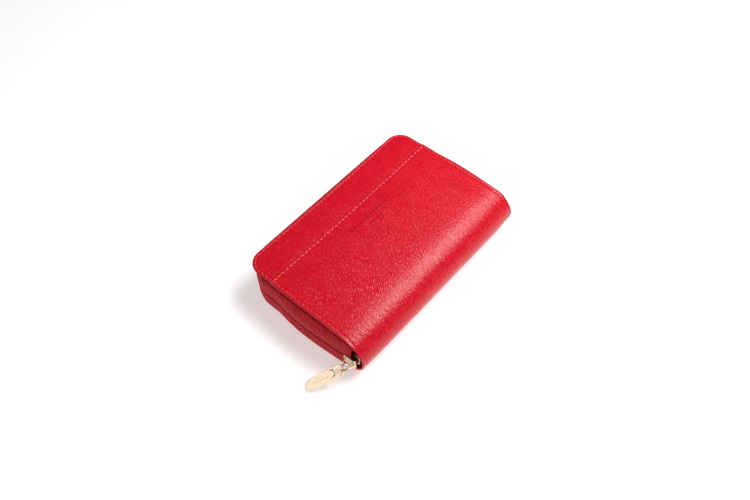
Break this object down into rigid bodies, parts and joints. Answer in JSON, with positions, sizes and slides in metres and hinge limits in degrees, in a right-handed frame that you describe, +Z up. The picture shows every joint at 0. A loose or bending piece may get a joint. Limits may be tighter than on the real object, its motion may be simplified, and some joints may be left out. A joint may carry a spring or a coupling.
{
  "type": "zip-around leather pouch wallet",
  "caption": "Compact zip-around leather wallet with a rolled spine, coil zip on the other sides, metal slider with ring and tag, card leaves and a zipped coin pocket inside.",
  "frame": {"origin": "middle of the flat underside of the back cover, on the surface that the wallet lies on", "axes": "+Z up through the closed wallet, +X from the zip's long side towards the spine, +Y along the spine away from the slider"},
  "size_m": [0.0872, 0.1564, 0.026],
  "materials": {
    "red_leather": "pebble-grained, semi-gloss",
    "card_leather": "fine-grained, satin",
    "lining_cloth": "fine plain-woven lining",
    "stiffener_board": "fibre board, hidden",
    "padding": "soft foam, hidden",
    "zip_tape": "woven twill tape",
    "zip_coil": "dyed nylon coil",
    "zip_metal": "polished pale gold plating"
  },
  "bodies": {
    "back_half": {"back_cover_leather": "red_leather", "back_board": "stiffener_board", "back_lining": "lining_cloth", "back_card_leaf_outer": "card_leather", "back_card_leaf_middle": "card_leather", "back_card_leaf_inner": "card_leather", "lower_zip_tape": "zip_tape", "lower_zip_coil": "zip_coil", "lower_zip_stops": "zip_metal", "back_gusset_front": "lining_cloth", "back_gusset_rear": "lining_cloth"},
    "spine": {"spine_leather": "red_leather", "spine_padding": "padding", "spine_lining": "lining_cloth", "coin_pocket_lower_wall": "lining_cloth", "coin_pocket_upper_wall": "lining_cloth", "coin_pocket_side_front": "lining_cloth", "coin_pocket_side_rear": "lining_cloth", "coin_zip_tape_lower": "zip_tape", "coin_zip_tape_upper": "zip_tape", "coin_zip_coil_lower": "zip_coil", "coin_zip_coil_upper": "zip_coil"},
    "front_half": {"front_cover_leather": "red_leather", "front_edge_strip": "red_leather", "front_board": "stiffener_board", "front_lining": "lining_cloth", "front_card_leaf_outer": "card_leather", "front_card_leaf_middle": "card_leather", "front_card_leaf_inner": "card_leather", "upper_zip_tape": "zip_tape", "upper_zip_coil": "zip_coil", "upper_zip_stops": "zip_metal", "front_gusset_front": "lining_cloth", "front_gusset_rear": "lining_cloth"},
    "zip_slider": {"zip_slider_body": "zip_metal"},
    "ring": {"puller_ring": "zip_metal"},
    "tag": {"puller_tag": "zip_metal"},
    "coin_slider": {"coin_slider_body": "zip_metal"},
    "coin_pull": {"coin_zip_pull": "zip_metal"}
  },
  "joints": [
    {"name": "spine_fold", "type": "hinge", "parent": "back_half", "child": "spine", "pos_m": [0.03894, 0, 0.00381], "axis": [0, 1, 0], "range_deg": [0, 35], "deforming": ["back_gusset_front", "back_gusset_rear"]},
    {"name": "cover_fold", "type": "hinge", "parent": "spine", "child": "front_half", "pos_m": [0.03894, 0, 0.02219], "axis": [0, 1, 0], "range_deg": [0, 35], "deforming": ["front_gusset_front", "front_gusset_rear"]},
    {"name": "zip_slide", "type": "slide", "parent": "back_half", "child": "zip_slider", "axis": [-1, 0, 0], "range_m": [0, 0.06]},
    {"name": "ring_swing", "type": "hinge", "parent": "zip_slider", "child": "ring", "pos_m": [0.037, -0.06887, 0.0123], "axis": [1, 0, 0], "range_deg": [-30, 0]},
    {"name": "tag_swing", "type": "hinge", "parent": "ring", "child": "tag", "pos_m": [0.03479, -0.07268, 0.01158], "axis": [0.809, -0.5878, 0], "range_deg": [-55, 0]},
    {"name": "coin_zip_slide", "type": "slide", "parent": "spine", "child": "coin_slider", "axis": [0, 1, 0], "range_m": [0, 0.089]},
    {"name": "coin_pull_swing", "type": "hinge", "parent": "coin_slider", "child": "coin_pull", "pos_m": [-0.0336, -0.0463, 0.013], "axis": [0, 0, 1], "range_deg": [0, 160]}
  ],
  "couplings": [
    {"joint": "cover_fold", "follows": "spine_fold", "ratio": 1}
  ]
}
